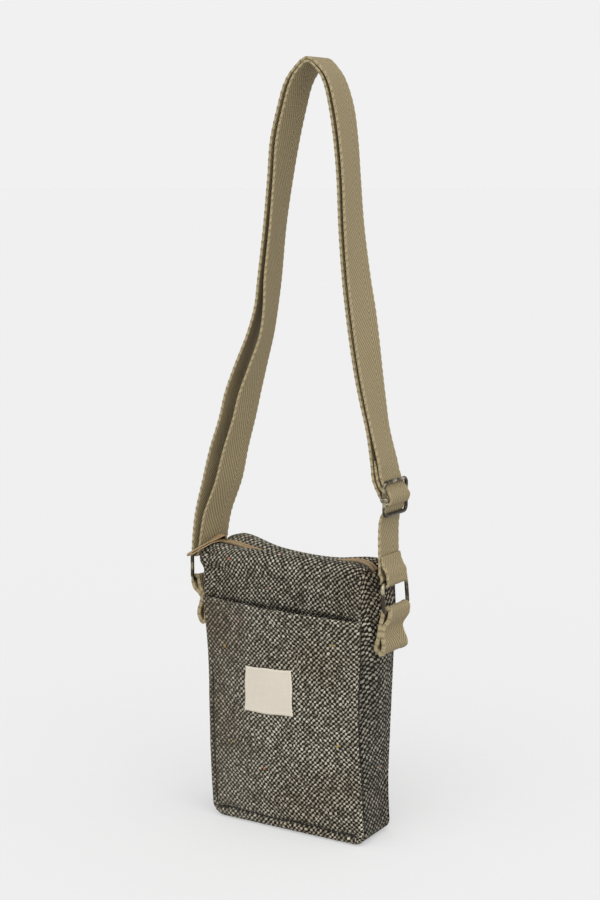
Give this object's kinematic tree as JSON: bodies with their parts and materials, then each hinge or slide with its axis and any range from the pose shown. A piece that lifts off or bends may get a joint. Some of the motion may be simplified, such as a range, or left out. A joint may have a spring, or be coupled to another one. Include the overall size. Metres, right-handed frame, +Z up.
{
  "type": "phone bag",
  "caption": "Small upright cross-body phone bag of tweed with a zip top, a front slip pocket with a bare sewn label, and a doubled adjustable webbing strap.",
  "frame": {"origin": "underside of the strap at its highest point, where it hangs on a shoulder or a hook", "axes": "+Z up, along the hanging bag; -Y to the front, where the pocket is; +X to the bag's right as it is seen"},
  "size_m": [0.1562, 0.0508, 0.5064],
  "materials": {
    "tweed": "coarse salt-and-pepper wool weave",
    "webbing": "matt herringbone cotton webbing",
    "zip_tape": "smooth woven tape",
    "zip_coil": "moulded nylon",
    "label_cotton": "plain cotton",
    "antique_brass": "dull antique plating"
  },
  "bodies": {
    "root": {"front_panel": "tweed", "back_panel": "tweed", "gusset": "tweed", "front_pocket": "tweed", "label": "label_cotton", "zip_tape_front": "zip_tape", "zip_tape_back": "zip_tape", "zip_coil": "zip_coil", "zip_slider": "antique_brass", "zip_puller": "zip_tape", "ring_left": "antique_brass", "ring_right": "antique_brass", "tab_left": "webbing", "tab_right": "webbing", "adjuster_frame": "antique_brass", "adjuster_bar": "antique_brass", "strap": "webbing"}
  },
  "joints": []
}
